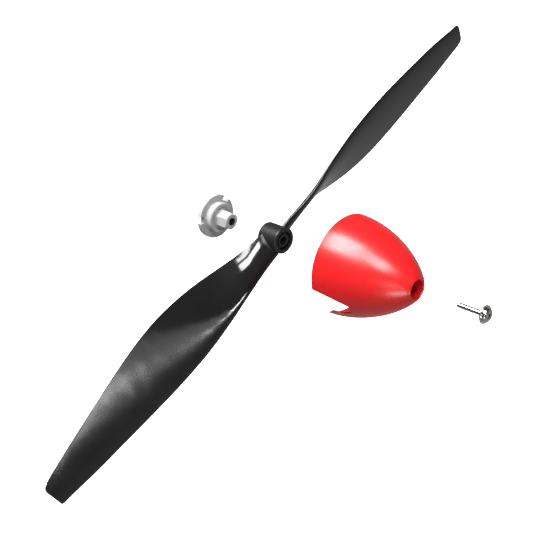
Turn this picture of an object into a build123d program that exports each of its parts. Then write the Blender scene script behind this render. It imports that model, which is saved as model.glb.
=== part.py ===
# Two-blade propeller for a small model aeroplane, with its spinner, shaft adapter, washer and screw.
#
# Every piece turns about the shaft axis, Y. The nose points to -Y, the blades lie along X and Z is up.
# The origin is where the shaft axis leaves the adapter's rear face. The pieces are laid out along the axis
# in the order they go on the shaft, and each one slides towards +Y, by its own travel, to its seat.
import math
import os

from build123d import *

# ---------------------------------------------------------------- driving dimensions, in millimetres

# Overall
tip_radius = 75.0
motor_shaft_radius = 1.0

# Shaft adapter
flange_radius = 5.37
flange_thickness = 1.22
step_radius = 3.73
step_height = 1.75
boss_height = 3.5
boss_across_flats = 3.8
boss_tip_radius = 1.75
shaft_bore_depth = 3.0
boss_mouth_radius = 0.95
boss_mouth_depth = 0.9
notch_angles = (22.0, 148.0)
notch_width = 1.7
notch_depth = 0.8
groove_inner_radius = 2.5
groove_width = 0.3
groove_depth = 0.2
step_chamfer = 0.15
flange_edge_round = 0.15

# Propeller hub
hub_radius = 3.1
hub_length = 5.6
hub_edge_round = 0.25
hub_hole_radius = 1.0
recess_radius = 2.2
recess_depth = 0.8
inner_ring_radius = 1.5
inner_ring_setback = 0.25

# Blade stations: radius, how far the leading edge is forward of the hub's middle, how far it is ahead of
# the blade's centre line in the direction of turning, chord, blade angle in degrees, thickness.
blade_stations = (
    (1.5, 1.81, 2.25, 5.75, 34.8, 1.7),
    (4.5, 1.91, 2.49, 6.4, 36.8, 1.66),
    (8.0, 2.16, 2.64, 7.05, 42.5, 1.6),
    (12.0, 2.45, 2.99, 8.3, 44.8, 1.5),
    (16.0, 2.44, 3.72, 9.75, 39.2, 1.48),
    (20.0, 2.32, 4.63, 11.32, 32.6, 1.43),
    (24.0, 2.24, 5.33, 12.7, 27.5, 1.38),
    (28.0, 2.16, 5.89, 13.8, 23.9, 1.32),
    (34.0, 1.99, 6.32, 14.65, 20.5, 1.25),
    (41.0, 1.79, 6.36, 14.42, 18.0, 1.16),
    (50.0, 1.60, 5.90, 12.8, 15.8, 1.03),
    (59.0, 1.51, 5.22, 10.7, 13.7, 0.91),
    (67.0, 1.52, 4.42, 8.6, 12.0, 0.81),
    (tip_radius, 1.60, 3.45, 6.1, 9.0, 0.7),
)
tip_leading_round = 1.4
tip_trailing_round = 1.2
tip_slant = 0.45
trailing_edge_thickness = 0.3

# Spinner
spinner_base_radius = 11.14
spinner_length = 19.15
spinner_wall = 0.55
nose_edge_round = 0.25
nose_hole_radius = 2.0
tube_wall = 0.9
seat_thickness = 1.3
base_behind_hub_middle = 3.4
slot_depth = 8.5

# Screw and washer
thread_radius = 0.6
screw_length = 6.9
head_radius = 1.45
head_height = 0.85
head_dome = 0.3
washer_radius = 1.92
washer_thickness = 0.3
washer_edge_round = 0.08
cross_width = 0.38
cross_reach = 0.85
cross_depth = 0.5

# Named clearances
socket_clearance = 0.05
socket_end_clearance = 0.25
pilot_clearance = 0.03
screw_passage_clearance = 0.15

# How far each piece is drawn off its seat when the set is laid out
propeller_travel = 15.44
spinner_travel = 25.19
washer_travel = 27.63

# ---------------------------------------------------------------- places along the shaft axis

flange_front = -flange_thickness
step_front = flange_front - step_height
boss_front = step_front - boss_height

hub_rear = step_front - propeller_travel
hub_middle = hub_rear - hub_length / 2
hub_front = hub_rear - hub_length

spinner_base = hub_middle + base_behind_hub_middle - spinner_travel
spinner_nose = spinner_base - spinner_length
seat_rear = hub_front - spinner_travel
seat_front = seat_rear - seat_thickness

washer_rear = seat_front - washer_travel
washer_front = washer_rear - washer_thickness
screw_tail = washer_front + screw_length
head_front = washer_front - head_height


def across(y):
    """The plane square to the shaft axis at y, seen from the nose: its X is +X and its normal is -Y."""
    return Plane(origin=(0, y, 0), x_dir=(1, 0, 0), z_dir=(0, -1, 0))


os.makedirs("parts", exist_ok=True)

# ---------------------------------------------------------------- shaft adapter
# Moulded in one piece: a notched flange, a round step and a hexagonal boss, bored for the motor shaft from
# behind and for the screw from the front.

boss_corner_radius = boss_across_flats / math.sqrt(3)
pilot_radius = thread_radius + pilot_clearance

with BuildPart() as shaft_adapter:
    with BuildSketch(across(0)):
        Circle(flange_radius)
        for angle in notch_angles:
            notch_middle = flange_radius - notch_depth / 2
            with Locations(
                (notch_middle * math.cos(math.radians(angle)), notch_middle * math.sin(math.radians(angle)))
            ):
                Rectangle(2 * notch_depth, notch_width, rotation=angle, mode=Mode.SUBTRACT)
    extrude(amount=flange_thickness)
    with BuildSketch(across(flange_front)):
        Circle(step_radius)
    extrude(amount=step_height)
    with BuildSketch(across(step_front)):
        RegularPolygon(boss_corner_radius, 6)
    extrude(amount=boss_height)
    # The boss's corners are turned down to a round tip.
    corner_drop = boss_corner_radius - boss_tip_radius
    with BuildSketch(Plane.XY):
        with BuildLine():
            Polyline(
                (boss_tip_radius, boss_front),
                (boss_corner_radius + corner_drop, boss_front),
                (boss_corner_radius + corner_drop, boss_front + 2 * corner_drop),
                close=True,
            )
        make_face()
    revolve(axis=Axis.Y, mode=Mode.SUBTRACT)
    # A ring groove in the step's face, round the boss.
    with BuildSketch(across(step_front)):
        Circle(groove_inner_radius + groove_width)
        Circle(groove_inner_radius, mode=Mode.SUBTRACT)
    extrude(amount=-groove_depth, mode=Mode.SUBTRACT)
    with BuildSketch(across(0)):
        Circle(motor_shaft_radius)
    extrude(amount=shaft_bore_depth, mode=Mode.SUBTRACT)
    with BuildSketch(across(-shaft_bore_depth)):
        Circle(pilot_radius)
    extrude(amount=-boss_front - shaft_bore_depth, mode=Mode.SUBTRACT)
    with BuildSketch(across(boss_front)):
        Circle(boss_mouth_radius)
    extrude(amount=-boss_mouth_depth, mode=Mode.SUBTRACT)
    step_edges = shaft_adapter.edges().filter_by(GeomType.CIRCLE).filter_by(
        lambda edge: abs(edge.radius - step_radius) < 0.01 and abs(edge.center().Y - step_front) < 0.01
    )
    chamfer(step_edges, length=step_chamfer)
    flange_edges = shaft_adapter.edges().filter_by(GeomType.CIRCLE).filter_by(
        lambda edge: abs(edge.radius - flange_radius) < 0.01
    )
    fillet(flange_edges, radius=flange_edge_round)
shaft_adapter.part.label = "shaft_adapter"
export_step(shaft_adapter.part, "parts/shaft_adapter.step")

# ---------------------------------------------------------------- propeller
# Two twisted blades and a round hub, one moulding. Each blade is lofted through its stations.


def station_plane(side, radius, forward, ahead, angle):
    """The plane of one blade section: its X runs from the leading to the trailing edge."""
    turn = math.radians(angle)
    return Plane(
        origin=(side * radius, hub_middle - forward, side * ahead),
        x_dir=(0, math.sin(turn), -side * math.cos(turn)),
        z_dir=(-side, 0, 0),
    )


with BuildPart() as propeller:
    with BuildSketch(across(hub_rear)):
        Circle(hub_radius)
    extrude(amount=hub_length)
    fillet(propeller.edges().filter_by(GeomType.CIRCLE), radius=hub_edge_round)
    for side in (-1, 1):
        for radius, forward, ahead, chord, angle, thickness in blade_stations:
            # A round-nosed section: full upper side, nearly flat lower side and blunt trailing edge.
            with BuildSketch(station_plane(side, radius, forward, ahead, angle)):
                with BuildLine():
                    upper = Bezier(
                        (0, 0),
                        (0, 0.50 * thickness),
                        (0.22 * chord, 1.05 * thickness),
                        (0.68 * chord, 0.60 * thickness),
                        (chord, trailing_edge_thickness / 2),
                    )
                    lower = Bezier(
                        (chord, -trailing_edge_thickness / 2),
                        (0.70 * chord, -0.25 * thickness),
                        (0.25 * chord, -0.45 * thickness),
                        (0, -0.33 * thickness),
                        (0, 0),
                    )
                    Line(upper @ 1, lower @ 0)
                make_face()
        loft()
    # The tips are cut nearly square, a little shorter at the leading edge, and their corners are rounded.
    tip_forward, tip_ahead, tip_chord, tip_angle = blade_stations[-1][1:5]
    tip_behind = tip_chord * math.cos(math.radians(tip_angle)) - tip_ahead
    cut_height = 2 * hub_length
    for side in (-1, 1):
        with BuildSketch(Plane(origin=(0, hub_middle + cut_height, 0), x_dir=(1, 0, 0), z_dir=(0, -1, 0))):
            corners = ((side * tip_ahead, tip_leading_round), (-side * tip_behind, tip_trailing_round))
            for edge, round_radius in corners:
                inward = -math.copysign(1, edge)
                with BuildLine():
                    start = (side * tip_radius, edge + inward * round_radius)
                    end = (side * (tip_radius - round_radius), edge)
                    corner = (side * (tip_radius + 1), edge - inward)
                    Line(start, (side * (tip_radius + 1), start[1]))
                    Line((side * (tip_radius + 1), start[1]), corner)
                    Line(corner, (end[0], corner[1]))
                    Line((end[0], corner[1]), end)
                    RadiusArc(end, start, -side * inward * round_radius)
                make_face()
            with BuildLine():
                Polyline(
                    (side * tip_radius, side * (tip_trailing_round - tip_behind)),
                    (side * (tip_radius - tip_slant), side * tip_ahead),
                    (side * (tip_radius + 1), side * (tip_ahead + 1)),
                    close=True,
                )
            make_face()
        extrude(amount=2 * cut_height, mode=Mode.SUBTRACT)
    # Hexagonal socket for the adapter's boss, and the screw's hole.
    socket_corner_radius = (boss_across_flats / 2 + socket_clearance) * 2 / math.sqrt(3)
    with BuildSketch(across(hub_rear)):
        RegularPolygon(socket_corner_radius, 6)
    extrude(amount=boss_height + socket_end_clearance, mode=Mode.SUBTRACT)
    with BuildSketch(across(hub_rear)):
        Circle(hub_hole_radius)
    extrude(amount=hub_length, mode=Mode.SUBTRACT)
    # The front face: an outer rim, a round recess and a lower ring about the hole.
    with BuildSketch(across(hub_front)):
        Circle(recess_radius)
        Circle(inner_ring_radius, mode=Mode.SUBTRACT)
    extrude(amount=-recess_depth, mode=Mode.SUBTRACT)
    with BuildSketch(across(hub_front)):
        Circle(inner_ring_radius)
    extrude(amount=-inner_ring_setback, mode=Mode.SUBTRACT)
propeller.part.label = "propeller"
export_step(propeller.part, "parts/propeller.step")

# ---------------------------------------------------------------- spinner
# A thin moulded cone, open behind, with a slot for each blade. A tube runs back from the hole in its nose to
# a seat that rests on the hub, so that the screw's head lies deep inside.

tube_radius = nose_hole_radius + tube_wall
seat_hole_radius = thread_radius + screw_passage_clearance


def spinner_outline(inset):
    """One side of the cone in the XY plane, from its rim to its nose, moved inwards by the wall."""
    rim = (spinner_base_radius - inset, spinner_base)
    nose = (nose_hole_radius, spinner_nose + 1.1 * inset)
    return Bezier(
        rim,
        (rim[0] - 0.018 * spinner_length, rim[1] - 0.537 * spinner_length),
        (nose[0] + 0.097 * spinner_length, nose[1] + 0.032 * spinner_length),
        nose,
    )


with BuildPart() as spinner:
    with BuildSketch(Plane.XY):
        with BuildLine():
            outer = spinner_outline(0)
            inner = spinner_outline(spinner_wall)
            Line(outer @ 0, inner @ 0)
            Line(outer @ 1, inner @ 1)
        make_face()
    revolve(axis=Axis.Y)
    with BuildSketch(across(seat_rear)):
        Circle(tube_radius)
    extrude(amount=seat_rear - spinner_nose - spinner_wall)
    with BuildSketch(across(seat_front)):
        Circle(nose_hole_radius)
    extrude(amount=spinner_length, mode=Mode.SUBTRACT)
    with BuildSketch(across(seat_rear)):
        Circle(seat_hole_radius)
    extrude(amount=seat_thickness, mode=Mode.SUBTRACT)
    nose_edges = spinner.edges().filter_by(GeomType.CIRCLE).filter_by(
        lambda edge: abs(edge.radius - nose_hole_radius) < 0.01 and abs(edge.center().Y - spinner_nose) < 0.01
    )
    fillet(nose_edges, radius=nose_edge_round)
    # Each slot is open at the rim and follows the blade's slant to a round inner end.
    for side in (-1, 1):
        slot_plane = Plane(origin=(side * tube_radius, spinner_base, 0), x_dir=(0, -1, 0), z_dir=(side, 0, 0))
        with BuildSketch(slot_plane):
            with BuildLine():
                upper = ThreePointArc((-1, 3.3), (0.575 * slot_depth, 1.93), (slot_depth, -0.44))
                lower = Spline(
                    (slot_depth - 0.5, -1.75),
                    (slot_depth - 1.3, -2.5),
                    (slot_depth - 2.4, -2.84),
                    (slot_depth - 3.7, -2.88),
                    (slot_depth - 5.9, -3.05),
                )
                flare = Polyline(lower @ 1, (0, -5.6), (-1, -6.6))
                RadiusArc(upper @ 1, lower @ 0, -0.75)
                Line(flare @ 1, upper @ 0)
            make_face()
        extrude(amount=spinner_base_radius, mode=Mode.SUBTRACT)
spinner.part.label = "spinner"
export_step(spinner.part, "parts/spinner.step")

# ---------------------------------------------------------------- washer
with BuildPart() as washer:
    with BuildSketch(across(washer_rear)):
        Circle(washer_radius)
        Circle(thread_radius + pilot_clearance, mode=Mode.SUBTRACT)
    extrude(amount=washer_thickness)
    washer_edges = washer.edges().filter_by(GeomType.CIRCLE).filter_by(
        lambda edge: abs(edge.radius - washer_radius) < 0.01
    )
    fillet(washer_edges, radius=washer_edge_round)
washer.part.label = "washer"
export_step(washer.part, "parts/washer.step")

# ---------------------------------------------------------------- screw
# Pan head with a cross recess, and a shank drawn at the thread's outer radius.
with BuildPart() as prop_screw:
    with BuildSketch(Plane.XY):
        with BuildLine():
            Polyline(
                (0, head_front),
                (0, screw_tail),
                (thread_radius - 0.2, screw_tail),
                (thread_radius, screw_tail - 0.3),
                (thread_radius, washer_front),
                (head_radius, washer_front),
                (head_radius, head_front + head_dome),
            )
            TangentArc((0, head_front), (head_radius, head_front + head_dome), tangent=(1, 0))
        make_face()
    revolve(axis=Axis.Y)
    with BuildSketch(across(head_front + cross_depth)):
        Rectangle(2 * cross_reach, cross_width)
        Rectangle(cross_width, 2 * cross_reach)
    extrude(amount=head_height, mode=Mode.SUBTRACT)
prop_screw.part.label = "prop_screw"
export_step(prop_screw.part, "parts/prop_screw.step")
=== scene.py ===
# The looks of a small model-aircraft propeller set: adapter, two-blade propeller, spinner, washer and screw.
#
# Lengths are in metres. The shaft axis is Y with the nose towards -Y, the blades lie along X, and Z is up.
import math

import bpy
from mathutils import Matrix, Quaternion, Vector


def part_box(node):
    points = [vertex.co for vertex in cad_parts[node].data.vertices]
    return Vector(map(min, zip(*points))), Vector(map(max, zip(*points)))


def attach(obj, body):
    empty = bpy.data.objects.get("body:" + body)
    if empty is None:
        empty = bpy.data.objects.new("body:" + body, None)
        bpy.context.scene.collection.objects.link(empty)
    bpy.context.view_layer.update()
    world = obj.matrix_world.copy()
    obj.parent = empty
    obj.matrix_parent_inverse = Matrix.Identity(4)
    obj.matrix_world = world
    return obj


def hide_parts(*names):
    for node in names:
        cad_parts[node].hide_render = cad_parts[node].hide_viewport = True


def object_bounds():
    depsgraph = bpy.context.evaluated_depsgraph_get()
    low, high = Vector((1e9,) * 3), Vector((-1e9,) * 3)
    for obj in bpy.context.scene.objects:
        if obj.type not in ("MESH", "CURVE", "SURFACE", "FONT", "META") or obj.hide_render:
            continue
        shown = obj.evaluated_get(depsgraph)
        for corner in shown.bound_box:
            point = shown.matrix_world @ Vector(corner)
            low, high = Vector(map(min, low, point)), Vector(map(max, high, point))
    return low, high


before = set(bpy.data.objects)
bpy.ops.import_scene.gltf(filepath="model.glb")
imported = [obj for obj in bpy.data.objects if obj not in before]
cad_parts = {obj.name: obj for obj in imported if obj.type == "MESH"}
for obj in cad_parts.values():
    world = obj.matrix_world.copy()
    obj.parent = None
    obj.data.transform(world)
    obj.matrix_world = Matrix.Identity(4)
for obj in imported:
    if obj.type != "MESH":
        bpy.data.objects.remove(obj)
cad_low, cad_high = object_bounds()
bpy.ops.object.select_all(action="DESELECT")

# ---------------------------------------------------------------- shaft adapter
# A small notched flange with a hexagonal boss, moulded in one piece from light grey nylon.
# Its faces are as the mould left them, faintly mottled and satin.


cloud_start, cloud_full = 0.3, 0.7


def build_moulded_skin():
    """The skin that every moulded piece here shares: slow colour clouds, and fine grain left by the mould."""
    skin = bpy.data.node_groups.new("moulded_skin", "ShaderNodeTree")
    for name, kind in (
        ("Base", "NodeSocketColor"),
        ("Cloud", "NodeSocketColor"),
        ("Cloud Scale", "NodeSocketFloat"),
        ("Grain Scale", "NodeSocketFloat"),
        ("Polished Roughness", "NodeSocketFloat"),
        ("Dull Roughness", "NodeSocketFloat"),
    ):
        skin.interface.new_socket(name=name, in_out="INPUT", socket_type=kind)
    for name, kind in (
        ("Color", "NodeSocketColor"),
        ("Roughness", "NodeSocketFloat"),
        ("Height", "NodeSocketFloat"),
    ):
        skin.interface.new_socket(name=name, in_out="OUTPUT", socket_type=kind)
    nodes, links = skin.nodes, skin.links
    given = nodes.new("NodeGroupInput")
    result = nodes.new("NodeGroupOutput")
    place = nodes.new("ShaderNodeTexCoord")

    clouds = nodes.new("ShaderNodeTexNoise")
    clouds.inputs["Detail"].default_value = 3
    links.new(place.outputs["Object"], clouds.inputs["Vector"])
    links.new(given.outputs["Cloud Scale"], clouds.inputs["Scale"])
    spread = nodes.new("ShaderNodeMapRange")
    spread.inputs["From Min"].default_value = cloud_start
    spread.inputs["From Max"].default_value = cloud_full
    links.new(clouds.outputs["Fac"], spread.inputs["Value"])

    tint = nodes.new("ShaderNodeMix")
    tint.data_type = "RGBA"
    links.new(spread.outputs["Result"], tint.inputs["Factor"])
    links.new(given.outputs["Base"], tint.inputs["A"])
    links.new(given.outputs["Cloud"], tint.inputs["B"])
    links.new(tint.outputs["Result"], result.inputs["Color"])

    dullness = nodes.new("ShaderNodeMix")
    dullness.data_type = "FLOAT"
    links.new(spread.outputs["Result"], dullness.inputs["Factor"])
    links.new(given.outputs["Polished Roughness"], dullness.inputs["A"])
    links.new(given.outputs["Dull Roughness"], dullness.inputs["B"])
    links.new(dullness.outputs["Result"], result.inputs["Roughness"])

    grain = nodes.new("ShaderNodeTexNoise")
    grain.inputs["Detail"].default_value = 4
    links.new(place.outputs["Object"], grain.inputs["Vector"])
    links.new(given.outputs["Grain Scale"], grain.inputs["Scale"])
    links.new(grain.outputs["Fac"], result.inputs["Height"])
    return skin


moulded_skin = build_moulded_skin()


def new_moulded_plastic(name, base, cloud, cloud_scale, grain_scale, roughness, grain_height):
    """A plastic with the shared skin. Returns its material, its shader and its skin node."""
    plastic = bpy.data.materials.new(name)
    plastic.use_nodes = True
    nodes, links = plastic.node_tree.nodes, plastic.node_tree.links
    shader = nodes["Principled BSDF"]
    skin = nodes.new("ShaderNodeGroup")
    skin.node_tree = moulded_skin
    skin.inputs["Base"].default_value = (*base, 1)
    skin.inputs["Cloud"].default_value = (*cloud, 1)
    skin.inputs["Cloud Scale"].default_value = cloud_scale
    skin.inputs["Grain Scale"].default_value = grain_scale
    skin.inputs["Polished Roughness"].default_value = roughness[0]
    skin.inputs["Dull Roughness"].default_value = roughness[1]
    bump = nodes.new("ShaderNodeBump")
    bump.inputs["Strength"].default_value = 1
    bump.inputs["Distance"].default_value = grain_height
    links.new(skin.outputs["Color"], shader.inputs["Base Color"])
    links.new(skin.outputs["Roughness"], shader.inputs["Roughness"])
    links.new(skin.outputs["Height"], bump.inputs["Height"])
    links.new(bump.outputs["Normal"], shader.inputs["Normal"])
    return plastic, shader, skin


def finish_node(node, material):
    """Puts a material on every slot of a CAD node."""
    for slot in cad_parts[node].material_slots:
        slot.material = material


def add_shaft_distance(material):
    """Adds the distance from the shaft axis to a material and returns its socket."""
    nodes, links = material.node_tree.nodes, material.node_tree.links
    place = nodes.new("ShaderNodeTexCoord")
    apart = nodes.new("ShaderNodeSeparateXYZ")
    links.new(place.outputs["Object"], apart.inputs["Vector"])
    across = nodes.new("ShaderNodeCombineXYZ")
    links.new(apart.outputs["X"], across.inputs["X"])
    links.new(apart.outputs["Z"], across.inputs["Z"])
    distance = nodes.new("ShaderNodeVectorMath")
    distance.operation = "LENGTH"
    links.new(across.outputs["Vector"], distance.inputs[0])
    return distance.outputs["Value"]


adapter_nylon, adapter_shader, adapter_skin = new_moulded_plastic(
    "adapter_nylon",
    base=(0.41, 0.41, 0.41),
    cloud=(0.35, 0.35, 0.355),
    cloud_scale=700,
    grain_scale=9000,
    roughness=(0.34, 0.46),
    grain_height=0.000004,
)

# Painted shade: the walls of the screw's hole, out to this radius from the shaft axis, are painted near black
# so that the hole looks deeper and darker than it is modelled. The shaft bore, which is wider, is not
# painted.
hole_shade_radius = 0.00096
painted_hole_shade = (0.02, 0.02, 0.02)
adapter_nodes, adapter_links = adapter_nylon.node_tree.nodes, adapter_nylon.node_tree.links
outside_hole = adapter_nodes.new("ShaderNodeMath")
outside_hole.operation = "GREATER_THAN"
outside_hole.inputs[1].default_value = hole_shade_radius
adapter_links.new(add_shaft_distance(adapter_nylon), outside_hole.inputs[0])
# This mix paints the hole's shade in near black and keeps the nylon's own skin everywhere else.
darkened = adapter_nodes.new("ShaderNodeMix")
darkened.data_type = "RGBA"
darkened.inputs["A"].default_value = (*painted_hole_shade, 1)
adapter_links.new(outside_hole.outputs["Value"], darkened.inputs["Factor"])
adapter_links.new(adapter_skin.outputs["Color"], darkened.inputs["B"])
adapter_links.new(darkened.outputs["Result"], adapter_shader.inputs["Base Color"])
finish_node("shaft_adapter", adapter_nylon)

# ---------------------------------------------------------------- propeller
# Two twisted blades and a round hub, one moulding in black glass-filled nylon. The mould is polished
# over the blades, most of all at their roots, and left as machined round the hub, which stays dull.

hub_dull_radius = 0.0031
hub_polish_radius = 0.0040
hub_roughness = 0.36
root_polish_end = 0.013
blade_finish_start = 0.030
root_roughness_share = 0.5

blade_nylon, blade_shader, blade_skin = new_moulded_plastic(
    "blade_nylon",
    base=(0.0065, 0.0065, 0.0068),
    cloud=(0.0085, 0.0085, 0.0088),
    cloud_scale=160,
    grain_scale=5200,
    roughness=(0.14, 0.17),
    grain_height=0.00000025,
)
blade_nodes, blade_links = blade_nylon.node_tree.nodes, blade_nylon.node_tree.links
from_shaft = add_shaft_distance(blade_nylon)
hub_mask = blade_nodes.new("ShaderNodeMapRange")
hub_mask.inputs["From Min"].default_value = hub_dull_radius
hub_mask.inputs["From Max"].default_value = hub_polish_radius
hub_mask.inputs["To Min"].default_value = hub_roughness
hub_mask.inputs["To Max"].default_value = 0
blade_links.new(from_shaft, hub_mask.inputs["Value"])
root_polish = blade_nodes.new("ShaderNodeMapRange")
root_polish.inputs["From Min"].default_value = root_polish_end
root_polish.inputs["From Max"].default_value = blade_finish_start
root_polish.inputs["To Min"].default_value = root_roughness_share
root_polish.inputs["To Max"].default_value = 1
blade_links.new(from_shaft, root_polish.inputs["Value"])
polished = blade_nodes.new("ShaderNodeMath")
polished.operation = "MULTIPLY"
blade_links.new(root_polish.outputs["Result"], polished.inputs[0])
blade_links.new(blade_skin.outputs["Roughness"], polished.inputs[1])
dullest = blade_nodes.new("ShaderNodeMath")
dullest.operation = "MAXIMUM"
blade_links.new(hub_mask.outputs["Result"], dullest.inputs[0])
blade_links.new(polished.outputs["Value"], dullest.inputs[1])
blade_links.new(dullest.outputs["Value"], blade_shader.inputs["Roughness"])
finish_node("propeller", blade_nylon)

# ---------------------------------------------------------------- spinner
# A thin hollow cone moulded in bright red plastic, with a slot at each side that drops over a blade's root.
# Its skin is glossy but not polished, so lights show on it with soft edges.

spinner_red, _, _ = new_moulded_plastic(
    "spinner_red",
    base=(0.50, 0.010, 0.011),
    cloud=(0.47, 0.008, 0.009),
    cloud_scale=260,
    grain_scale=5200,
    roughness=(0.26, 0.31),
    grain_height=0.0000012,
)
finish_node("spinner", spinner_red)

# ---------------------------------------------------------------- washer
# A small flat steel washer, punched and nickel-plated, that spreads the screw's load over the spinner's seat.

plating_unevenness = 0.000003


def new_plated_steel(name, bright, darkened, roughness, scale):
    """Bright nickel plating with fine stains and a slight unevenness of polish."""
    steel = bpy.data.materials.new(name)
    steel.use_nodes = True
    nodes, links = steel.node_tree.nodes, steel.node_tree.links
    shader = nodes["Principled BSDF"]
    shader.inputs["Metallic"].default_value = 1
    place = nodes.new("ShaderNodeTexCoord")
    stains = nodes.new("ShaderNodeTexNoise")
    stains.inputs["Scale"].default_value = scale
    stains.inputs["Detail"].default_value = 5
    links.new(place.outputs["Object"], stains.inputs["Vector"])
    tint = nodes.new("ShaderNodeMix")
    tint.data_type = "RGBA"
    tint.inputs["A"].default_value = (*bright, 1)
    tint.inputs["B"].default_value = (*darkened, 1)
    links.new(stains.outputs["Fac"], tint.inputs["Factor"])
    links.new(tint.outputs["Result"], shader.inputs["Base Color"])
    polish = nodes.new("ShaderNodeMapRange")
    polish.inputs["To Min"].default_value = roughness[0]
    polish.inputs["To Max"].default_value = roughness[1]
    links.new(stains.outputs["Fac"], polish.inputs["Value"])
    links.new(polish.outputs["Result"], shader.inputs["Roughness"])
    bump = nodes.new("ShaderNodeBump")
    bump.inputs["Distance"].default_value = plating_unevenness
    links.new(stains.outputs["Fac"], bump.inputs["Height"])
    links.new(bump.outputs["Normal"], shader.inputs["Normal"])
    return steel


washer_nickel = new_plated_steel(
    "washer_nickel",
    bright=(0.78, 0.77, 0.75),
    darkened=(0.62, 0.61, 0.58),
    roughness=(0.10, 0.22),
    scale=1800,
)
finish_node("washer", washer_nickel)

# ---------------------------------------------------------------- screw
# A pan-head self-tapping screw with a cross recess, cold-headed and thread-rolled from steel and
# nickel-plated. It clamps the spinner and the propeller to the adapter.

screw_low, screw_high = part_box("prop_screw")
head_radius = screw_high.x
head_front = screw_low.y
head_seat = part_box("washer")[0].y
shank_tail = screw_high.y
head_edge_height = 0.00042
dome_steps = 7
dome_flat_share = 0.30
core_radius = 0.00050
thread_crest = 0.00058
thread_pitch = 0.00040
tail_taper = 0.0005
cross_arm = 0.00088
cross_width = 0.00036
cross_floor = 0.00048
cross_floor_share = 0.62
tail_tip_share = 0.55
thread_start = 0.0007
thread_turns = 13
turn_steps = 40
rear_facing = 0.9
crease_angle = 32

# The head: a disc raised to its edge height and closed by a dome of shrinking rings.
bpy.ops.mesh.primitive_circle_add(
    vertices=96,
    radius=head_radius,
    fill_type="NGON",
    location=(0, head_seat, 0),
    rotation=(math.pi / 2, 0, 0),
)
screw_head = bpy.context.object
bpy.ops.object.transform_apply(location=True, rotation=True, scale=True)
bpy.ops.object.mode_set(mode="EDIT")
bpy.ops.mesh.select_all(action="SELECT")
bpy.ops.mesh.extrude_region_move(TRANSFORM_OT_translate={"value": (0, -head_edge_height, 0)})
dome_height = head_seat - head_edge_height - head_front
ring_radius, ring_height = 1.0, 0.0
for step in range(1, dome_steps + 1):
    turn = math.pi / 2 * step / dome_steps
    next_radius = dome_flat_share + (1 - dome_flat_share) * math.cos(turn)
    next_height = dome_height * math.sin(turn)
    rise = ring_height - next_height
    bpy.ops.mesh.extrude_region_move(TRANSFORM_OT_translate={"value": (0, rise, 0)})
    bpy.ops.transform.resize(
        value=(next_radius / ring_radius, 1, next_radius / ring_radius),
        center_override=(0, head_seat - head_edge_height - next_height, 0),
    )
    ring_radius, ring_height = next_radius, next_height
bpy.ops.mesh.select_all(action="SELECT")
bpy.ops.mesh.normals_make_consistent(inside=False)
bpy.ops.object.mode_set(mode="OBJECT")

# The cross recess is two crossed wedges sunk in the dome.
for arm_x, arm_z in ((cross_arm, cross_width / 2), (cross_width / 2, cross_arm)):
    bpy.ops.object.select_all(action="DESELECT")
    bpy.ops.mesh.primitive_cube_add(size=2, location=(0, head_front, 0), scale=(arm_x, cross_floor, arm_z))
    wedge = bpy.context.object
    bpy.ops.object.transform_apply(location=True, rotation=True, scale=True)
    bpy.ops.object.mode_set(mode="EDIT")
    bpy.ops.mesh.select_all(action="DESELECT")
    bpy.ops.object.mode_set(mode="OBJECT")
    for face in wedge.data.polygons:
        face.select = face.normal.y > rear_facing
    bpy.ops.object.mode_set(mode="EDIT")
    bpy.ops.transform.resize(
        value=(cross_floor_share, 1, cross_floor_share),
        center_override=(0, head_front + cross_floor, 0),
    )
    bpy.ops.object.mode_set(mode="OBJECT")
    cut = screw_head.modifiers.new("cross_cut", "BOOLEAN")
    cut.operation = "DIFFERENCE"
    cut.solver = "EXACT"
    cut.object = wedge
    bpy.context.view_layer.objects.active = screw_head
    bpy.ops.object.modifier_apply(modifier=cut.name)
    bpy.data.objects.remove(wedge)

# The shank's core, with a short taper at its tail.
bpy.ops.object.select_all(action="DESELECT")
shank_length = shank_tail - head_seat - tail_taper
bpy.ops.mesh.primitive_cylinder_add(
    vertices=64,
    radius=core_radius,
    depth=shank_length,
    location=(0, head_seat + shank_length / 2, 0),
    rotation=(math.pi / 2, 0, 0),
)
screw_shank = bpy.context.object
bpy.ops.object.transform_apply(location=True, rotation=True, scale=True)
for face in screw_shank.data.polygons:
    face.select = face.normal.y > rear_facing
bpy.ops.object.mode_set(mode="EDIT")
bpy.ops.mesh.extrude_region_move(TRANSFORM_OT_translate={"value": (0, tail_taper, 0)})
bpy.ops.transform.resize(value=(tail_tip_share, 1, tail_tip_share), center_override=(0, shank_tail, 0))
bpy.ops.object.mode_set(mode="OBJECT")

# The thread: a three-sided ridge wound round the core.
bpy.ops.object.select_all(action="DESELECT")
ridge_reach = thread_crest - core_radius
bpy.ops.mesh.primitive_circle_add(
    vertices=3,
    radius=ridge_reach,
    fill_type="NOTHING",
    location=(core_radius, head_seat + thread_start, 0),
    rotation=(0, 0, -math.pi / 2),
)
screw_thread = bpy.context.object
bpy.ops.object.transform_apply(location=True, rotation=True, scale=True)
winding = screw_thread.modifiers.new("winding", "SCREW")
winding.axis = "Y"
winding.angle = 2 * math.pi
winding.screw_offset = thread_pitch
winding.iterations = thread_turns
winding.steps = turn_steps
winding.render_steps = turn_steps
bpy.ops.object.modifier_apply(modifier=winding.name)
bpy.ops.object.mode_set(mode="EDIT")
bpy.ops.mesh.select_all(action="DESELECT")
bpy.ops.mesh.select_mode(type="EDGE")
bpy.ops.mesh.select_non_manifold()
bpy.ops.mesh.edge_face_add()
bpy.ops.mesh.select_all(action="SELECT")
bpy.ops.mesh.normals_make_consistent(inside=False)
bpy.ops.object.mode_set(mode="OBJECT")

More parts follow.
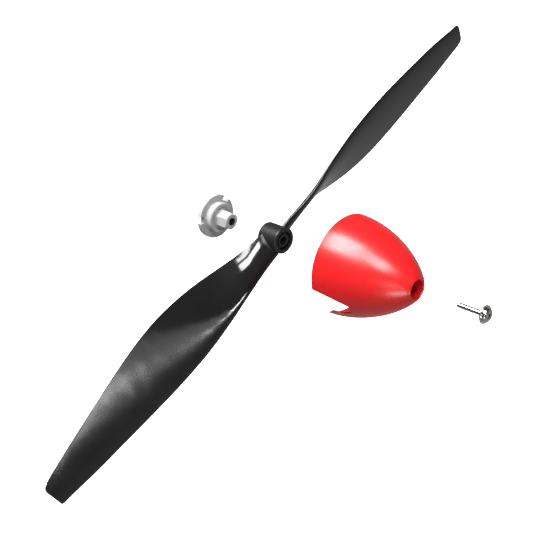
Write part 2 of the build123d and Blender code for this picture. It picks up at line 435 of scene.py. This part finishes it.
bpy.ops.object.select_all(action="DESELECT")
for part in (screw_shank, screw_thread, screw_head):
    part.select_set(True)
bpy.context.view_layer.objects.active = screw_head
bpy.ops.object.join()
threaded_screw = bpy.context.object
threaded_screw.name = "threaded_screw"
bpy.ops.object.shade_smooth_by_angle(angle=math.radians(crease_angle))
screw_nickel = new_plated_steel(
    "screw_nickel",
    bright=(0.66, 0.65, 0.63),
    darkened=(0.48, 0.46, 0.44),
    roughness=(0.07, 0.16),
    scale=2600,
)
threaded_screw.data.materials.clear()
threaded_screw.data.materials.append(screw_nickel)
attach(threaded_screw, "prop_screw")
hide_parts("prop_screw")

# ---------------------------------------------------------------- floor
# A plain pale sheet well below the set, so that no piece's shadow shows on it.

floor_drop = 0.16
floor_size = 8
floor_glow = 0.9
bpy.ops.object.select_all(action="DESELECT")
bpy.ops.mesh.primitive_plane_add(size=floor_size, location=(0, 0, cad_low.z - floor_drop))
floor = bpy.context.object
floor.name = "floor"
paper = bpy.data.materials.new("floor_paper")
paper.use_nodes = True
paper_shader = paper.node_tree.nodes["Principled BSDF"]
paper_shader.inputs["Base Color"].default_value = (0.9, 0.9, 0.9, 1)
paper_shader.inputs["Roughness"].default_value = 0.9
paper_shader.inputs["Emission Color"].default_value = (1, 1, 1, 1)
paper_shader.inputs["Emission Strength"].default_value = floor_glow
floor.data.materials.append(paper)
floor.visible_glossy = False
floor.visible_diffuse = False

# ---------------------------------------------------------------- lights
# Three soft boxes overhead, a small lamp and a dim panel in front, two fills on the left, and a dim room.


def add_soft_box(name, place, aim, size, radiance, roll=0):
    """A rectangular lamp of a given radiance that faces the point aim, rolled by degrees about that line."""
    lamp = bpy.data.lights.new(name, "AREA")
    lamp.shape = "RECTANGLE"
    lamp.size, lamp.size_y = size
    lamp.energy = radiance * math.pi * size[0] * size[1]
    holder = bpy.data.objects.new(name, lamp)
    bpy.context.scene.collection.objects.link(holder)
    holder.location = place
    facing = (Vector(aim) - Vector(place)).to_track_quat("-Z", "Y")
    holder.rotation_euler = (facing @ Quaternion((0, 0, 1), math.radians(roll))).to_euler()


add_soft_box("broad_overhead_box", (0.04, 0.08, 0.50), (0.04, 0.08, 0), (0.32, 0.34), 20)
add_soft_box("near_overhead_box", (0.035, -0.275, 0.50), (0.035, -0.275, 0), (0.24, 0.10), 26)
add_soft_box("thin_overhead_box", (0.035, -0.167, 0.50), (0.035, -0.167, 0), (0.24, 0.04), 22)
add_soft_box("front_lamp", (0.098, -0.90, -0.012), (0.098, 0, -0.012), (0.12, 0.06), 38, roll=43)
add_soft_box("front_glow", (0.215, -0.91, 0.085), (0.215, 0, 0.085), (0.11, 0.13), 1.8)
add_soft_box("left_fill", (-0.50, -0.60, 0.35), (0, 0, 0), (0.30, 0.30), 2.5)
add_soft_box("low_fill", (-0.45, -0.50, -0.05), (0, 0, 0), (0.30, 0.20), 8)

# The room's brightness by height, from straight down at 0 to straight up at 1.
nadir_level, zenith_level = 0.38, 0.30
room_levels = ((0.25, 0.33), (0.42, 0.10), (0.60, 0.10), (0.85, 0.08))

room = bpy.data.worlds.new("room")
bpy.context.scene.world = room
room.use_nodes = True
room_nodes, room_links = room.node_tree.nodes, room.node_tree.links
room_place = room_nodes.new("ShaderNodeTexCoord")
room_apart = room_nodes.new("ShaderNodeSeparateXYZ")
room_links.new(room_place.outputs["Generated"], room_apart.inputs["Vector"])
height_share = room_nodes.new("ShaderNodeMapRange")
height_share.inputs["From Min"].default_value = -1
height_share.inputs["From Max"].default_value = 1
room_links.new(room_apart.outputs["Z"], height_share.inputs["Value"])
room_ramp = room_nodes.new("ShaderNodeValToRGB")
for stop, level in zip(room_ramp.color_ramp.elements, (nadir_level, zenith_level)):
    stop.color = (level, level, level, 1)
for position, level in room_levels:
    stop = room_ramp.color_ramp.elements.new(position)
    stop.color = (level, level, level, 1)
room_links.new(height_share.outputs["Result"], room_ramp.inputs["Fac"])
room_links.new(room_ramp.outputs["Color"], room_nodes["Background"].inputs["Color"])

bpy.context.scene.view_settings.view_transform = "Standard"

# ---------------------------------------------------------------- camera
# It looks down on the set from in front and to the left, rolled so that the blades lie corner to corner.

camera = bpy.data.cameras.new("camera")
camera.sensor_width = 36
camera.lens = 68.976
camera_holder = bpy.data.objects.new("camera", camera)
bpy.context.scene.collection.objects.link(camera_holder)
camera_holder.location = (-0.088922, -0.175835, 0.150325)
camera_holder.rotation_euler = (math.radians(44.82399), math.radians(21.49471), math.radians(-48.53504))
bpy.context.scene.camera = camera_holder
